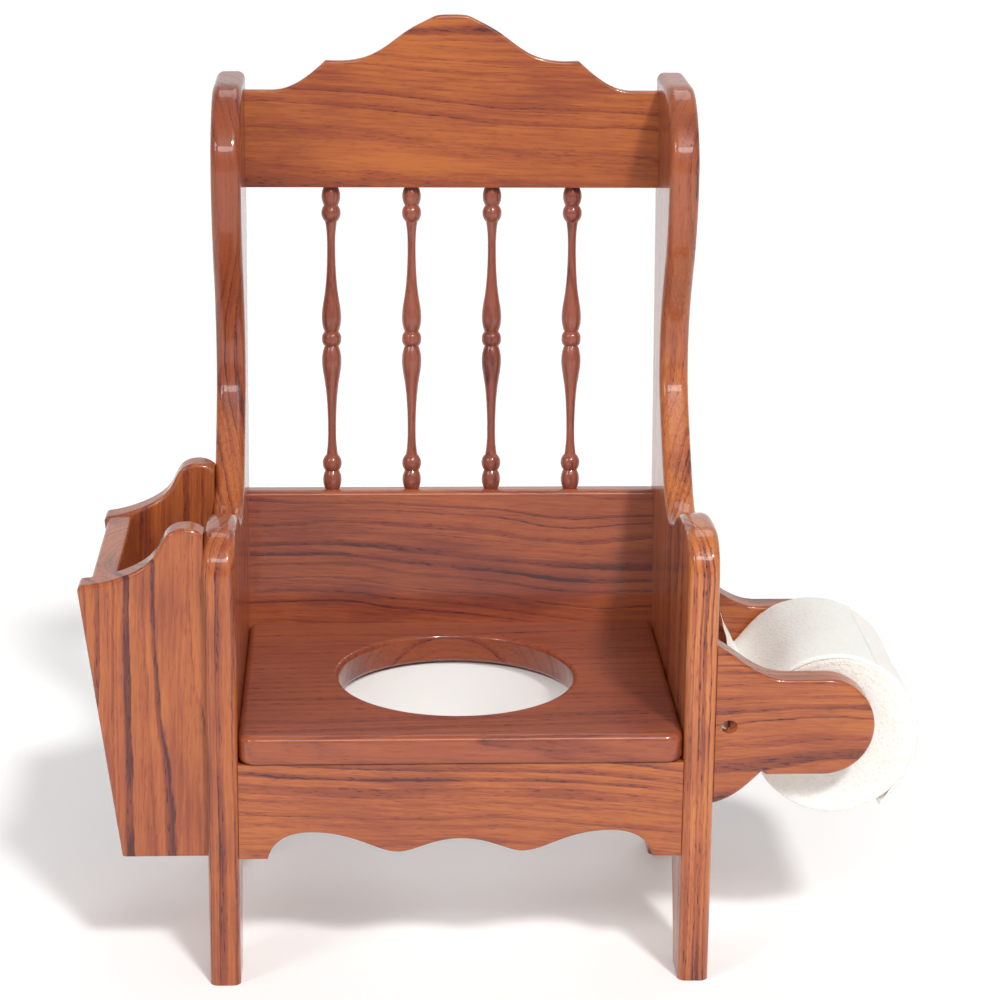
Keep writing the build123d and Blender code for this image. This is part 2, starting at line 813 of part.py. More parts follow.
# ---------------------------------------------------------------- pocket screws of the holder
with BuildPart() as holder_screws:
    for plane in pocket_planes:
        with BuildSketch(plane.offset(pocket_depth - 0.1)):
            Circle(screw_radius - 0.1)
        extrude(amount=pocket_screw_length - pocket_depth)
        with BuildSketch(plane.offset(pocket_depth - 2.1)):
            Circle(3.4)
        extrude(amount=2.0)


# ---------------------------------------------------------------- screws and plugs, by group
with BuildPart() as frame_screw_set:
    add(wood_screws(frame_screws, -half_width, 1))
    add(wood_screws(frame_screws, half_width, -1))

with BuildPart() as frame_plug_set:
    add(button_plugs(frame_screws, -half_width, 1))
    add(button_plugs(frame_screws, half_width, -1))


# ---------------------------------------------------------------- write every piece
save(side_panel(-1), "left_side_panel")
save(side_panel(1), "right_side_panel")
save(seat_bored.part, "seat_board")
save(apron.part, "front_apron")
save(lower_back_bored.part, "lower_back_panel")
save(crest.part, "crest_rail")
for number, x in enumerate(spindle_xs, start=1):
    save(spindle(x), f"spindle_{number}")
save(rack_end_board(rack_front_y, rack_reach), "rack_front_board")
save(rack_end_board(rack_front_y + rack_pitch, rack_rear_reach), "rack_rear_board")
save(rack_outer_board.part, "rack_outer_board")
save(rack_bottom_board.part, "rack_bottom_board")
save(holder_arm(arm_front_y, pocket_planes[0], arm_inner_front), "holder_front_arm")
save(holder_arm(arm_inner_rear, pocket_planes[1], arm_inner_rear), "holder_rear_arm")
save(roller_tube.part, "roller_tube")
save(roller_plunger.part, "roller_plunger")
save(roller_spring.part, "roller_spring")
save(paper_roll.part, "paper_roll")
save(roll_core.part, "roll_core")
save(paper_tail.part, "paper_tail")
save(potty_pan.part, "potty_pan")
save(pan_runner(-1), "pan_runner_left")
save(pan_runner(1), "pan_runner_right")
save(runner_screws.part, "runner_screws")
save(apron_dowel_set.part, "apron_dowels")
save(frame_screw_set.part, "frame_screws")
save(frame_plug_set.part, "frame_plugs")
save(wood_screws(rack_screws, -half_inside, -1), "rack_screws")
save(flush_plugs(rack_screws, -half_inside, -1), "rack_plugs")
save(holder_screws.part, "holder_screws")
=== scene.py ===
import math
import random

import bpy
from mathutils import Matrix, Vector, noise


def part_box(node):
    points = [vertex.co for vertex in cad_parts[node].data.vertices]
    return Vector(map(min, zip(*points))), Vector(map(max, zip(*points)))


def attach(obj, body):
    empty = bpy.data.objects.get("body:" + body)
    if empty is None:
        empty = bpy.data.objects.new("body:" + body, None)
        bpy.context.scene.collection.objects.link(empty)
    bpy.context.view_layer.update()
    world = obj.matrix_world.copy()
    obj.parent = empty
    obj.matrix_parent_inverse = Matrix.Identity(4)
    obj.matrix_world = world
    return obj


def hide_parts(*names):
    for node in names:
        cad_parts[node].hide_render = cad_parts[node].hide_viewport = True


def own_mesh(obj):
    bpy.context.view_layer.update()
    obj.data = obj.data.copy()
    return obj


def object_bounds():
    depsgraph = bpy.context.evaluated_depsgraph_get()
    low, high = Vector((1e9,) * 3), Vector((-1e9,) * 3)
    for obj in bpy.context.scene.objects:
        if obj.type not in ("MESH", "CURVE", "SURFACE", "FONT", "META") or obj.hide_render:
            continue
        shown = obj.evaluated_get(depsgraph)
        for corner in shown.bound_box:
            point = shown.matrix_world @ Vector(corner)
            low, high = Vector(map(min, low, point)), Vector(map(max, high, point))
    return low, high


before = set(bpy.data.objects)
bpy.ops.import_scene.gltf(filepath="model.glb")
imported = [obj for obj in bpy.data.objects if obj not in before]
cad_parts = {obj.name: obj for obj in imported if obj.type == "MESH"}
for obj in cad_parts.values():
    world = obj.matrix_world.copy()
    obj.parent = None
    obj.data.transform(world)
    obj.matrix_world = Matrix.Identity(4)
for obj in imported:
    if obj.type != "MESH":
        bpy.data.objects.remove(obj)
cad_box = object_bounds()

X, Y, Z = Vector((1, 0, 0)), Vector((0, 1, 0)), Vector((0, 0, 1))
RAKE = math.radians(6.5)
UP_BACK = Vector((0, math.sin(RAKE), math.cos(RAKE)))
THROUGH_BACK = Vector((0, math.cos(RAKE), -math.sin(RAKE)))


def middle(node):
    low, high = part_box(node)
    return (low + high) / 2


# ---------------------------------------------------------------- short calls for materials

class Nodes:
    """Short calls for building a node tree."""

    def __init__(self, owner):
        self.tree = owner.node_tree
        self.tree.nodes.clear()

    def add(self, kind, **settings):
        node = self.tree.nodes.new(kind)
        for name, value in settings.items():
            setattr(node, name, value)
        return node

    def put(self, socket, value):
        if isinstance(value, bpy.types.NodeSocket):
            self.tree.links.new(value, socket)
        else:
            socket.default_value = value

    def math(self, operation, a, b=0.0, clamp=False):
        node = self.add("ShaderNodeMath", operation=operation, use_clamp=clamp)
        self.put(node.inputs[0], a)
        self.put(node.inputs[1], b)
        return node.outputs[0]

    def vector(self, operation, a, b=(0.0, 0.0, 0.0)):
        node = self.add("ShaderNodeVectorMath", operation=operation)
        self.put(node.inputs[0], a)
        self.put(node.inputs[1], b)
        return node.outputs["Value"] if operation == "LENGTH" else node.outputs[0]

    def place(self, vector, rotation=(0, 0, 0), scale=(1, 1, 1)):
        node = self.add("ShaderNodeMapping")
        self.put(node.inputs["Vector"], vector)
        self.put(node.inputs["Rotation"], rotation)
        self.put(node.inputs["Scale"], scale)
        return node.outputs[0]

    def noise(self, vector, scale=1.0, detail=2.0, rough=0.5, colour=False):
        node = self.add("ShaderNodeTexNoise")
        self.put(node.inputs["Vector"], vector)
        self.put(node.inputs["Scale"], scale)
        self.put(node.inputs["Detail"], detail)
        self.put(node.inputs["Roughness"], rough)
        return node.outputs["Color" if colour else "Fac"]

    def cells(self, vector, scale):
        node = self.add("ShaderNodeTexVoronoi")
        self.put(node.inputs["Vector"], vector)
        self.put(node.inputs["Scale"], scale)
        return node.outputs["Distance"]

    def split(self, vector):
        node = self.add("ShaderNodeSeparateXYZ")
        self.put(node.inputs[0], vector)
        return node.outputs

    def join(self, x, y, z):
        node = self.add("ShaderNodeCombineXYZ")
        for socket, value in zip(node.inputs, (x, y, z)):
            self.put(socket, value)
        return node.outputs[0]

    def span(self, value, low, high, to_low=0.0, to_high=1.0, smooth=False):
        """Takes low to high in value to to_low to to_high, and holds it there beyond them."""
        node = self.add("ShaderNodeMapRange", interpolation_type="SMOOTHSTEP" if smooth else "LINEAR")
        for socket, given in zip(node.inputs, (value, low, high, to_low, to_high)):
            self.put(socket, given)
        return node.outputs[0]

    def ramp(self, value, *stops):
        node = self.add("ShaderNodeValToRGB")
        self.put(node.inputs[0], value)
        elements = node.color_ramp.elements
        while len(elements) < len(stops):
            elements.new(1.0)
        for element, (place, colour) in zip(elements, stops):
            element.position = place
            element.color = (*colour, 1.0)
        return node.outputs[0]

    def mix(self, factor, a, b):
        node = self.add("ShaderNodeMix", data_type="RGBA")
        self.put(node.inputs["Factor"], factor)
        for socket, value in ((node.inputs[6], a), (node.inputs[7], b)):
            self.put(socket, (*value, 1.0) if isinstance(value, tuple) else value)
        return node.outputs[2]

    def bump(self, height, distance, strength):
        node = self.add("ShaderNodeBump")
        self.put(node.inputs["Height"], height)
        self.put(node.inputs["Distance"], distance)
        self.put(node.inputs["Strength"], strength)
        return node.outputs[0]

    def own_place(self):
        return self.add("ShaderNodeTexCoord").outputs["Object"]

    def surface(self, colour, roughness, normal=None, **fixed):
        """The shader and the output. fixed names the shader's other sockets, with _ for each space."""
        shader = self.add("ShaderNodeBsdfPrincipled")
        self.put(shader.inputs["Base Color"], colour)
        self.put(shader.inputs["Roughness"], roughness)
        if normal is not None:
            self.put(shader.inputs["Normal"], normal)
        for name, value in fixed.items():
            self.put(shader.inputs[name.replace("_", " ")], value)
        output = self.add("ShaderNodeOutputMaterial")
        self.tree.links.new(shader.outputs[0], output.inputs[0])


def new_material(name):
    material = bpy.data.materials.new(name)
    material.use_nodes = True
    return material, Nodes(material)


def dress(node, material):
    """Gives a CAD node its finish in place of the plain one it came with."""
    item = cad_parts[node]
    for slot in item.material_slots:
        slot.material = material
    if not item.material_slots:
        item.data.materials.append(material)


# ---------------------------------------------------------------- lacquered oak

def in_board(n, across, through, grain, centre, tilt):
    """A place measured from the middle of the board, along a log that leans against the board by tilt."""
    lean = Matrix.Rotation(tilt, 3, through) @ Matrix.Rotation(tilt, 3, across)
    axes = [(lean @ axis).normalized() for axis in (across, through, grain)]
    return n.place(n.vector("SUBTRACT", n.own_place(), tuple(centre)), rotation=Matrix(axes).to_euler())


def ring_count(n, local, seeded, pith, ring, warp, seed):
    """How many year rings lie between a place and the log's heart, with wavy and uneven rings."""
    middle_grey = (0.5, 0.5, 0.5)
    broad = n.noise(n.place(seeded, scale=(9, 9, 3.6)), detail=2.5, rough=0.5, colour=True)
    fine = n.noise(n.place(seeded, scale=(90, 90, 22)), detail=3.0, rough=0.65, colour=True)
    shift = n.vector("MULTIPLY", n.vector("SUBTRACT", broad, middle_grey), (warp * 2, warp * 2, 0))
    waver = n.vector("MULTIPLY", n.vector("SUBTRACT", fine, middle_grey), (0.0032, 0.0032, 0))
    moved = n.vector("ADD", n.vector("ADD", local, shift), waver)
    from_pith = n.vector("MULTIPLY", n.vector("SUBTRACT", moved, (*pith, 0.0)), (1, 1, 0))
    rings = n.math("DIVIDE", n.vector("LENGTH", from_pith), ring)
    uneven = n.add("ShaderNodeTexNoise", noise_dimensions="1D")
    n.put(uneven.inputs["W"], n.math("ADD", rings, seed))
    n.put(uneven.inputs["Scale"], 0.9)
    return n.math("ADD", rings, n.math("MULTIPLY", uneven.outputs["Fac"], 1.3))


def year_lines(n, rings, seed, weakest):
    """Each year starts with a dark, open-pored band and ends in smooth, lighter wood."""
    year = n.add("ShaderNodeTexWhiteNoise", noise_dimensions="1D")
    n.put(year.inputs["W"], n.math("ADD", n.math("FLOOR", rings), seed * 13.0))
    part = n.math("FRACT", rings)
    rise = n.span(part, 0.0, 0.13, smooth=True)
    fall = n.span(part, 0.10, 0.55, 1.0, 0.0, smooth=True)
    strength = n.span(year.outputs["Value"], 0.0, 1.0, weakest, 1.0)
    return n.math("MULTIPLY", n.math("MULTIPLY", rise, fall), strength)


def oak(name, across, through, grain, centre, pith, ring=0.008, tilt=0.03, warp=0.010, seed=0.0,
        light=(0.47, 0.136, 0.034), mid=(0.300, 0.068, 0.026), dark=(0.080, 0.016, 0.017),
        lines=1.0, pores=1.0, painted_shade_end=None):
    """Glossy stained oak cut from a log. centre is the middle of the board, and pith is how far across and
    through from there the log's heart lies. tilt leans the log against the board, which opens the rings
    into arches on its faces. The last argument, a span along the grain, is where painted shade starts to
    darken the wood, and where it is full."""
    material, n = new_material(name)
    local = in_board(n, across, through, grain, centre, tilt)
    seeded = n.vector("ADD", local, (seed, seed * 1.7, seed * 2.3))

    def patches(scale, detail, rough):
        return n.noise(n.place(seeded, scale=scale), detail=detail, rough=rough)

    rings = ring_count(n, local, seeded, pith, ring, warp, seed)
    patch = patches((30, 30, 8), 3.0, 0.6)
    years = n.math("MULTIPLY", year_lines(n, rings, seed, 0.15), n.span(patch, 0.34, 0.58, 0.25, 1.25))
    between = year_lines(n, n.math("MULTIPLY", rings, 3.7), seed, 0.0)
    bands = n.math("ADD", years, n.math("MULTIPLY", between, n.span(patch, 0.35, 0.65, 0.45, 0.12)))
    open_pores = n.span(patches((1150, 1150, 120), 1.0, 0.5), 0.55, 0.70, smooth=True)
    open_pores = n.math("MULTIPLY", open_pores, n.span(bands, 0.0, 0.6, 0.22, 1.0))
    fibre = patches((560, 560, 22), 3.0, 0.65)
    smudge = n.span(patches((24, 24, 7), 2.0, 0.5), 0.52, 0.74, smooth=True)
    blotch = patches((13, 13, 6), 3.0, 0.6)

    value = n.math("ADD", n.span(blotch, 0.25, 0.75, 0.66, 1.08), n.span(fibre, 0.2, 0.8, -0.22, 0.22))
    value = n.math("SUBTRACT", value, n.math("MULTIPLY", smudge, 0.34 * lines))
    value = n.math("SUBTRACT", value, n.math("MULTIPLY", bands, 0.66 * lines))
    value = n.math("SUBTRACT", value, n.math("MULTIPLY", open_pores, 0.46 * pores), clamp=True)
    # Painted shade: the colour darkens along the grain towards the panels' ears, in place of the shade on
    # their rounded tops.
    if painted_shade_end:
        value = n.math("MULTIPLY", value, n.span(n.split(local)[2], *painted_shade_end, 1.0, 0.62, smooth=True))
    low = tuple(a * 0.55 + b * 0.45 for a, b in zip(mid, dark))
    colour = n.ramp(value, (0.0, dark), (0.30, low), (0.62, mid), (1.0, light))
    normal = n.bump(n.math("SUBTRACT", n.math("MULTIPLY", fibre, 0.3), open_pores), 0.00010, 0.45)
    n.surface(colour, n.span(open_pores, 0.0, 1.0, 0.36, 0.62), normal, IOR=1.45, Specular_IOR_Level=0.35,
              Coat_Weight=0.6, Coat_Roughness=0.07, Coat_IOR=1.5)
    return material


# How each board lies in its log: the direction across it, through it and along its grain.
UPRIGHT = dict(across=X, through=Y, grain=Z)
SIDEWAYS = dict(across=Z, through=Y, grain=X)
PANEL = dict(across=Y, through=X, grain=Z)
SEAT = dict(across=Y, through=Z, grain=X)
RUNNER = dict(across=X, through=Z, grain=Y)
BACK = dict(across=UP_BACK, through=THROUGH_BACK, grain=X)
# The side panels get painted shade, darker from a little under their middle to their ears.
EAR_SHADE_SPAN = (-0.02, 0.22)
OAK_BOARDS = {
    "left_side_panel": dict(PANEL, pith=(0.03, -0.22), ring=0.0065, seed=1.3, tilt=0.004, warp=0.004,
                            painted_shade_end=EAR_SHADE_SPAN),
    "right_side_panel": dict(PANEL, pith=(0.06, 0.20), ring=0.0060, seed=5.1, tilt=0.004, warp=0.004,
                             pores=1.4, light=(0.60, 0.200, 0.055), mid=(0.38, 0.098, 0.036),
                             painted_shade_end=EAR_SHADE_SPAN),
    "seat_board": dict(SEAT, pith=(0.16, -0.05), ring=0.0090, seed=2.2, tilt=0.03, lines=0.75,
                       light=(0.37, 0.092, 0.034), mid=(0.25, 0.054, 0.027)),
    "front_apron": dict(SIDEWAYS, pith=(0.012, 0.034), ring=0.0080, seed=3.4, tilt=0.07, warp=0.016),
    "lower_back_panel": dict(BACK, pith=(0.010, 0.045), ring=0.0085, seed=4.6, tilt=0.05, warp=0.020,
                             light=(0.40, 0.104, 0.036), mid=(0.255, 0.055, 0.028)),
    "crest_rail": dict(BACK, pith=(-0.045, 0.065), ring=0.0115, seed=7.7, tilt=0.04, warp=0.014),
    "rack_front_board": dict(UPRIGHT, pith=(0.055, 0.05), ring=0.0075, seed=8.8, tilt=0.03),
    "rack_rear_board": dict(UPRIGHT, pith=(-0.05, 0.06), ring=0.0075, seed=9.9, tilt=0.02),
    "rack_outer_board": dict(PANEL, pith=(0.03, 0.05), seed=10.4),
    "rack_bottom_board": dict(SEAT, pith=(0.03, 0.06), seed=11.6),
    "holder_front_arm": dict(SIDEWAYS, pith=(0.07, 0.05), ring=0.0062, seed=12.5, tilt=0.03, lines=1.15),
    "holder_rear_arm": dict(SIDEWAYS, pith=(-0.06, 0.05), ring=0.0070, seed=13.2, tilt=0.03),
    "pan_runner_left": dict(RUNNER, pith=(0.05, 0.05), seed=14.1),
    "pan_runner_right": dict(RUNNER, pith=(-0.05, 0.05), seed=15.3),
}
for board, cut in OAK_BOARDS.items():
    dress(board, oak("oak_" + board, centre=middle(board), **cut))

OAK_TRIMS = {
    "frame_plugs": dict(RUNNER, seed=27.0),
    "rack_plugs": dict(UPRIGHT, seed=26.0),
    "apron_dowels": dict(across=Y, through=Z, grain=X, seed=28.0),
}
for trim, cut in OAK_TRIMS.items():
    dress(trim, oak("oak_" + trim, centre=middle(trim), pith=(0.3, 0.3), **cut))

for index in range(1, 5):
    spindle = f"spindle_{index}"
    turned = oak(f"turned_oak_{index}", across=X, through=THROUGH_BACK, grain=UP_BACK, centre=middle(spindle),
                 pith=(0.02, 0.03), ring=0.0050, warp=0.003, seed=20.0 + index * 1.9, lines=0.8,
                 light=(0.33, 0.096, 0.056), mid=(0.23, 0.058, 0.038), dark=(0.08, 0.018, 0.014))
    dress(spindle, turned)


# ---------------------------------------------------------------- metal, plastic and cardboard

def metal(name, colour, rough, streak):
    """Bare metal with worn spots. streak is how fine its surface is along X, Y and Z."""
    material, n = new_material(name)
    place = n.own_place()
    wear = n.noise(place, scale=900, detail=3.0)
    shade = n.mix(n.span(wear, 0.3, 0.7), tuple(c * 0.82 for c in colour), colour)
    normal = n.bump(n.noise(n.place(place, scale=streak)), 0.00004, 0.4)
    n.surface(shade, n.span(wear, 0.3, 0.7, rough * 0.8, rough * 1.3), normal, Metallic=1.0)
    return material


steel = metal("zinc_plate", (0.62, 0.60, 0.55), 0.32, (2500, 2500, 2500))
for screws in ("frame_screws", "rack_screws", "runner_screws", "holder_screws"):
    dress(screws, steel)
dress("roller_spring", metal("spring_wire", (0.56, 0.56, 0.57), 0.24, (300, 4000, 300)))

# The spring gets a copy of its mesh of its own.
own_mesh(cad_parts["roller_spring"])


def plastic(name, colour, rough, grain):
    """Moulded plastic with a slight ripple and fine scuffs."""
    material, n = new_material(name)
    place = n.own_place()
    ripple = n.noise(place, scale=18, detail=2.0)
    scuff = n.noise(n.place(place, scale=(420, 60, 420)), detail=4.0, rough=0.7)
    shade = n.mix(n.span(ripple, 0.3, 0.7), tuple(c * 0.96 for c in colour), colour)
    height = n.math("ADD", n.noise(place, scale=grain, detail=2.0), n.math("MULTIPLY", scuff, 0.3))
    n.surface(shade, n.span(scuff, 0.35, 0.75, rough, rough * 1.8), n.bump(height, 0.00005, 0.35),
              Coat_Weight=0.2, Coat_Roughness=0.08, Subsurface_Weight=0.08, Subsurface_Scale=0.004)
    return material


dress("potty_pan", plastic("pan_plastic", (0.93, 0.93, 0.92), 0.16, 700))
roller_finish = plastic("roller_plastic", (0.82, 0.80, 0.73), 0.24, 900)
dress("roller_tube", roller_finish)
dress("roller_plunger", roller_finish)


def cardboard():
    material, n = new_material("cardboard")
    place = n.own_place()
    fibres = n.noise(n.place(place, scale=(900, 260, 900)), detail=4.0, rough=0.65)
    patch = n.noise(place, scale=60, detail=3.0)
    tone = n.math("ADD", n.math("MULTIPLY", fibres, 0.6), n.math("MULTIPLY", patch, 0.4))
    colour = n.ramp(tone, (0.3, (0.25, 0.17, 0.10)), (0.5, (0.38, 0.27, 0.17)), (0.72, (0.50, 0.38, 0.26)))
    n.surface(colour, 0.9, n.bump(fibres, 0.0002, 0.6))
    return material


dress("roll_core", cardboard())


# ---------------------------------------------------------------- paper roll and its loose ends

def tissue(name, seed, axis_at=None):
    """Soft white tissue, embossed with small dimples. With axis_at, a place on the roll's axis, the edges
    of its windings show too."""
    material, n = new_material(name)
    place = n.own_place()
    seeded = n.vector("ADD", place, (seed, seed, seed))
    dimples = n.span(n.cells(seeded, 420.0), 0.15, 0.55, smooth=True)
    crumple = n.noise(seeded, scale=55, detail=3.0, rough=0.6)
    fuzz = n.noise(seeded, scale=1500, detail=2.0)
    height = n.math("ADD", n.math("MULTIPLY", crumple, 1.6), n.math("MULTIPLY", fuzz, 0.35))
    height = n.math("ADD", dimples, height)
    # Painted shade: the dimples' hollows are darker in colour, mixed with the crumple's random tone.
    shade = n.math("ADD", n.math("MULTIPLY", dimples, 0.5), n.math("MULTIPLY", crumple, 0.5))
    colour = n.ramp(shade, (0.15, (0.88, 0.83, 0.77)), (0.45, (0.91, 0.87, 0.81)), (0.8, (0.93, 0.90, 0.86)))
    if axis_at:
        winding_thickness = 0.0011
        away = n.vector("MULTIPLY", n.vector("SUBTRACT", place, axis_at), (1, 0, 1))
        uneven = n.vector("MULTIPLY", n.noise(place, scale=30, colour=True), (0.0012, 0, 0.0012))
        radius = n.vector("LENGTH", n.vector("ADD", away, uneven))
        wind = n.math("SINE", n.math("MULTIPLY", radius, 2 * math.pi / winding_thickness))
        loose = n.noise(n.join(n.math("MULTIPLY", radius, 260), 0.0, 0.0), detail=2.0)
        loose = n.span(loose, 0.4, 0.7)
        windings = n.math("ADD", wind, n.math("MULTIPLY", loose, 2.0))
        height = n.math("ADD", height, n.math("MULTIPLY", windings, 0.22))
        # Painted shade: the colour darkens where the windings lie loose, in place of the shade in the gaps
        # between them.
        colour = n.mix(n.math("MULTIPLY", loose, 0.14), colour, (0.84, 0.79, 0.74))
    n.surface(colour, 0.95, n.bump(height, 0.00035, 0.55), Sheen_Weight=0.25, Sheen_Roughness=0.5,
              Subsurface_Weight=0.15, Subsurface_Scale=0.003, Specular_IOR_Level=0.15)
    return material


def tissue_piece(name, rows, material, closed=False, thickness=0.0):
    """A smooth piece of the roll's body through rows of points, each row as long as the next. closed joins
    the last row to the first."""
    count = len(rows[0])
    faces = []
    for i in range(len(rows) if closed else len(rows) - 1):
        for j in range(count - 1):
            a, b = i * count + j, ((i + 1) % len(rows)) * count + j
            faces.append((a, b, b + 1, a + 1))
    mesh = bpy.data.meshes.new(name)
    mesh.from_pydata([point for row in rows for point in row], [], faces)
    mesh.materials.append(material)
    mesh.shade_smooth()
    item = bpy.data.objects.new(name, mesh)
    bpy.context.scene.collection.objects.link(item)
    if thickness:
        solid = item.modifiers.new("thickness", "SOLIDIFY")
        solid.thickness = thickness
        solid.offset = 0.0
    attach(item, "roll")
    return item


roll_low, roll_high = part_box("paper_roll")
roll_mid = middle("paper_roll")
roll_centre = Vector((roll_mid.x, 0, roll_mid.z))
roll_radius = (roll_high.x - roll_low.x) / 2
core_low, core_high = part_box("roll_core")
bore_radius = (core_high.x - core_low.x) / 2
# How far the roll's surface lies under the CAD roll's, so that the strips on it show.
UNDER_STRIPS = 0.0007
SOFT_CORNER = 0.0022
PAPER = 0.0003


def on_roll(angle, radius, y):
    return Vector((roll_mid.x + radius * math.cos(angle), y, roll_mid.z + radius * math.sin(angle)))


def roll_profile():
    """Pairs of radius and y, from the bore's front edge around the outside to its rear edge."""
    soft, edge, face_steps, side_steps = SOFT_CORNER, 0.0012, 26, 60
    front, rear = roll_low.y, roll_high.y
    inner, outer = bore_radius + edge, roll_radius - soft
    face = [inner + (outer - inner) * k / face_steps for k in range(1, face_steps + 1)]
    corner = (0.4, 0.8, 1.2)
    profile = [(bore_radius + 0.0002, front + 0.0006), (inner, front + 0.0001)]
    profile += [(radius, front) for radius in face]
    profile += [(outer + soft * math.sin(a), front + soft - soft * math.cos(a)) for a in corner]
    profile += [(roll_radius, front + soft + (rear - front - 2 * soft) * k / side_steps)
                for k in range(side_steps + 1)]
    profile += [(outer + soft * math.cos(a), rear - soft + soft * math.sin(a)) for a in corner]
    profile += [(radius, rear) for radius in reversed(face)]
    profile += [(bore_radius + 0.0002, rear - 0.0006)]
    return profile


def paper_roll():
    """The wound roll: a closed ring with soft corners, a slightly lumpy side and uneven windings."""
    turn_steps = 300
    profile = roll_profile()
    rows = []
    for i in range(turn_steps):
        angle = 2 * math.pi * i / turn_steps
        row = []
        for radius, y in profile:
            share = (radius - bore_radius) / (roll_radius - bore_radius)
            place = on_roll(angle, radius, y)
            swell = noise.noise(place * 38) * 0.0007 + noise.noise(place * 120) * 0.00025
            dish = abs(noise.noise(Vector((radius * 500, angle * 0.8, 3.0)))) * 0.0005
            side, end = (-1, roll_low.y) if y < roll_mid.y else (1, roll_high.y)
            on_face = abs(y - end) < 0.0003 and 0.03 < share < 0.97
            sunk = side * dish if on_face else 0.0
            row.append(on_roll(angle, radius - UNDER_STRIPS + swell * share, y - sunk))
        rows.append(row)
    finish = tissue("roll_tissue", 0.3, axis_at=tuple(roll_mid))
    return tissue_piece("tissue_roll", rows, finish, closed=True)


roll_piece = paper_roll()
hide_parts("paper_roll")


def smooth_path(points, steps):
    """Points on a smooth line through the given ones, steps to each span."""
    padded = [points[0] * 2 - points[1], *points, points[-1] * 2 - points[-2]]
    line = []
    for a, b, c, d in zip(padded, padded[1:], padded[2:], padded[3:]):
        for k in range(steps):
            t = k / steps
            square = (2 * a - 5 * b + 4 * c - d) * t * t
            cube = (3 * b - a - 3 * c + d) * t ** 3
            line.append(0.5 * (2 * b + (c - a) * t + square + cube))
    line.append(points[-1])
    return line


def sheet_rows(line, front, rear, wave, lying, torn, droop=0.0):
    """Rows of points along a path in the X-Z plane, from front to rear, with a slight wave and a torn last
    row. The first rows, lying of them, bend in with the roll's soft corners. droop is how far the last
    row's front end hangs lower than its rear end."""
    width_steps, last, fading_rows, droop_from = 80, len(line) - 1, 6, 0.72
    rows = []
    for i, point in enumerate(line):
        along = (line[min(i + 1, last)] - line[max(i - 1, 0)]).normalized()
        out = Vector((-along.z, 0, along.x))
        free = i / last
        row = []
        for k in range(width_steps + 1):
            y = front + (rear - front) * k / width_steps
            lift = noise.noise(Vector((point.x * 60, y * 45, point.z * 60))) * wave * free
            tear = random.uniform(-torn, torn) if i == last else 0.0
            sag = droop * max(0.0, (free - droop_from) / (1 - droop_from)) * (1 - k / width_steps)
            near = max(0.0, SOFT_CORNER - min(k, width_steps - k) * (rear - front) / width_steps)
            bent = SOFT_CORNER - math.sqrt(SOFT_CORNER ** 2 - near ** 2)
            bent *= max(0.0, min(1.0, (lying - i) / fading_rows))
            inward = (roll_centre - point).normalized() * bent
            place = point + out * lift + along * tear - Vector((0.35, 0, 1)) * sag + inward
            row.append(Vector((place.x, y, place.z)))
        rows.append(row)
    return rows


def tail_path(low):
    """The loose end's path: over the roll's top, straight down to a crease, and back up to its torn edge."""
    lying = [on_roll(math.radians(a), roll_radius - 0.0003 + 0.0002 * k, 0)
             for k, a in enumerate((62, 78, 94, 108, 119))]
    fold = Vector((low.x + 0.0107, 0, low.z + 0.0006))
    bow = Vector((-0.3, 0, 0.3)) * 0.003
    hanging = [lying[-1].lerp(fold, t) + bow * math.sin(math.pi * t) for t in (0.35, 0.7, 0.93)]
    back = [fold + Vector((-0.0012, 0, 0.0007)), fold + Vector((-0.0032, 0, 0.0050)),
            fold + Vector((-0.0062, 0, 0.0115)), Vector((low.x + 0.0012, 0, low.z + 0.0203))]
    return smooth_path([*lying, *hanging, fold, *back], 8)


def ply_path():
    """The outer ply's path: down the roll's right side, lifting off it towards its end."""
    lifts = {20: -0.0005, 8: -0.0003, -6: -0.0001, -18: 0.0003, -32: 0.0007, -46: 0.0010, -58: 0.0022}
    return smooth_path([on_roll(math.radians(a), roll_radius + lift, 0) for a, lift in lifts.items()], 6)


random.seed(7)
tail_low, tail_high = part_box("paper_tail")
tail_line = tail_path(tail_low)
tail_rows = sheet_rows(tail_line, tail_low.y, tail_high.y, 0.0012, 38, 0.0004, droop=0.010)
tail = tissue_piece("tissue_tail", tail_rows, tissue("tail_tissue", 1.9), thickness=PAPER)
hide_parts("paper_tail")

ply_line = ply_path()
ply_rows = sheet_rows(ply_line, roll_low.y, roll_high.y, 0.0010, 36, 0.0003)
ply = tissue_piece("tissue_outer_ply", ply_rows, tissue("ply_tissue", 2.7), thickness=PAPER)


# ---------------------------------------------------------------- camera, floor and light

CAMERA_PLACE = Vector((-0.08516, -1.79932, 0.80406))
YAW, PITCH, ROLL = 0.0481523, 0.2869251, -0.0103794


def aim_camera():
    camera = bpy.data.objects.new("camera", bpy.data.cameras.new("camera"))
    bpy.context.scene.collection.objects.link(camera)
    camera.data.sensor_width = 36.0
    camera.data.lens = 105.25
    camera.data.clip_end = 60.0
    ahead = Vector((math.sin(YAW) * math.cos(PITCH), math.cos(YAW) * math.cos(PITCH), -math.sin(PITCH)))
    level = Vector((math.cos(YAW), -math.sin(YAW), 0.0))
    down = ahead.cross(level)
    right = level * math.cos(ROLL) + down * math.sin(ROLL)
    below = down * math.cos(ROLL) - level * math.sin(ROLL)
    turn = Matrix((right, -below, -ahead)).transposed().to_4x4()
    camera.matrix_world = Matrix.Translation(CAMERA_PLACE) @ turn
    bpy.context.scene.camera = camera


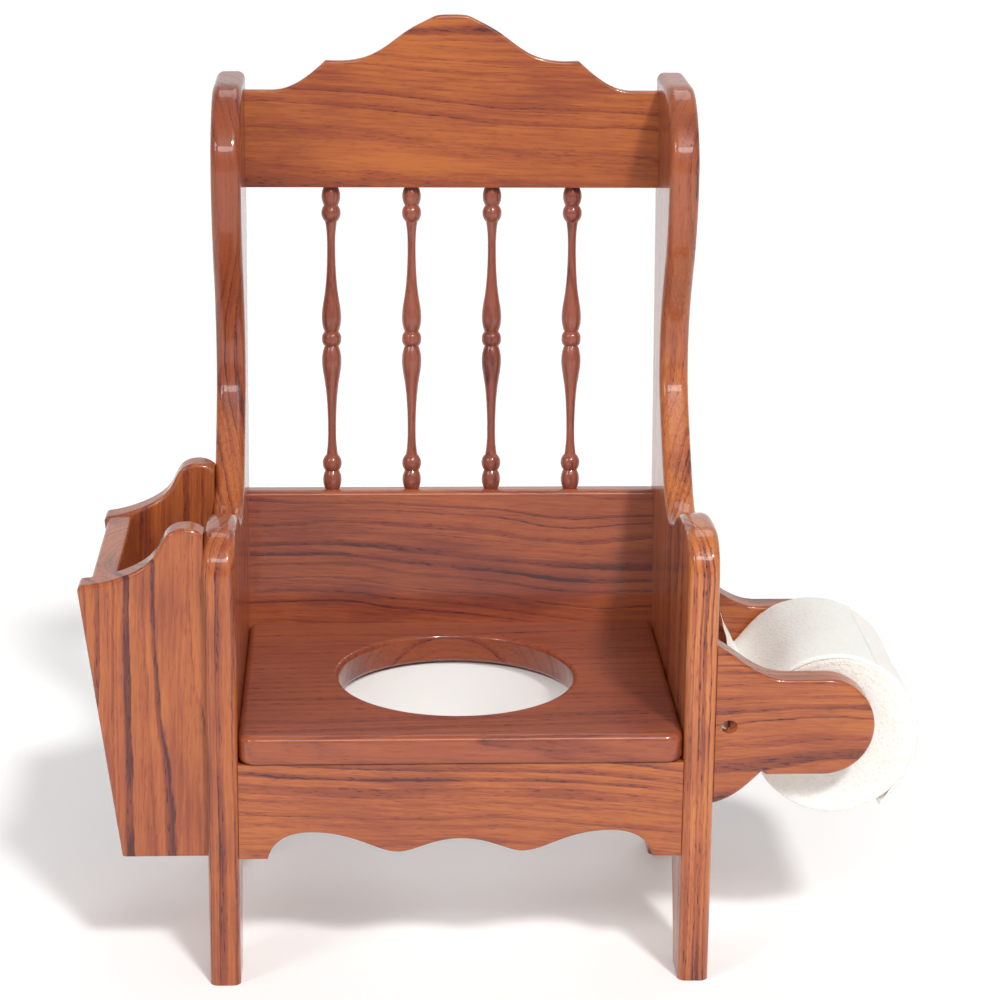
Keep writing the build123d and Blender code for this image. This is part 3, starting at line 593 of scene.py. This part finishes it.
def floor():
    size = 14.0
    corners = [(-size, -size, 0), (size, -size, 0), (size, size, 0), (-size, size, 0)]
    mesh = bpy.data.meshes.new("floor")
    mesh.from_pydata(corners, [], [(0, 1, 2, 3)])
    item = bpy.data.objects.new("floor", mesh)
    bpy.context.scene.collection.objects.link(item)
    material, n = new_material("floor_paper")
    tone = n.mix(n.noise(n.own_place(), scale=1.5, detail=2.0), (0.94, 0.94, 0.94), (0.96, 0.96, 0.96))
    n.surface(tone, 0.9, Emission_Color=(1.0, 1.0, 1.0, 1.0), Emission_Strength=0.14)
    mesh.materials.append(material)
    item.location.z = cad_box[0][2]


def sun(name, azimuth, height, strength, spread, colour=(1, 1, 1)):
    """A soft studio lamp far away. azimuth 0 shines from the front, and 90 from the right."""
    lamp = bpy.data.lights.new(name, "SUN")
    lamp.energy = strength
    lamp.angle = math.radians(spread)
    lamp.color = colour
    item = bpy.data.objects.new(name, lamp)
    bpy.context.scene.collection.objects.link(item)
    a, h = math.radians(azimuth), math.radians(height)
    source = Vector((math.sin(a) * math.cos(h), -math.cos(a) * math.cos(h), math.sin(h)))
    item.rotation_euler = source.to_track_quat("Z", "Y").to_euler()


def softbox(name, place, target, width, height, power):
    """A studio softbox that faces the target."""
    lamp = bpy.data.lights.new(name, "AREA")
    lamp.shape = "RECTANGLE"
    lamp.size = width
    lamp.size_y = height
    lamp.energy = power
    item = bpy.data.objects.new(name, lamp)
    bpy.context.scene.collection.objects.link(item)
    item.location = place
    item.rotation_euler = (Vector(place) - Vector(target)).to_track_quat("Z", "Y").to_euler()


def studio_world():
    """Soft light from all round, brightest low down behind the chair, where its white background stands."""
    world = bpy.data.worlds.new("studio")
    world.use_nodes = True
    bpy.context.scene.world = world
    n = Nodes(world)
    way = n.split(n.add("ShaderNodeTexCoord").outputs["Generated"])
    behind = n.span(way[1], 0.1, 0.8, smooth=True)
    low_down = n.span(way[2], 0.25, 0.75, 1.0, 0.0, smooth=True)
    backdrop = n.add("ShaderNodeBackground")
    strength = n.span(n.math("MULTIPLY", behind, low_down), 0.0, 1.0, 0.34, 0.95)
    n.put(backdrop.inputs["Strength"], strength)
    n.tree.links.new(backdrop.outputs[0], n.add("ShaderNodeOutputWorld").inputs[0])


aim_camera()
floor()
sun("key", azimuth=22, height=46, strength=1.9, spread=7, colour=(1.0, 0.985, 0.96))
sun("fill", azimuth=-48, height=34, strength=0.60, spread=16, colour=(1.0, 0.985, 0.98))
sun("back", azimuth=165, height=55, strength=0.45, spread=30)
softbox("front_softbox", (0.10, -2.1, 2.0), (0.0, 0.0, 0.3), width=1.0, height=0.45, power=11)
studio_world()
bpy.context.scene.view_settings.view_transform = "Standard"
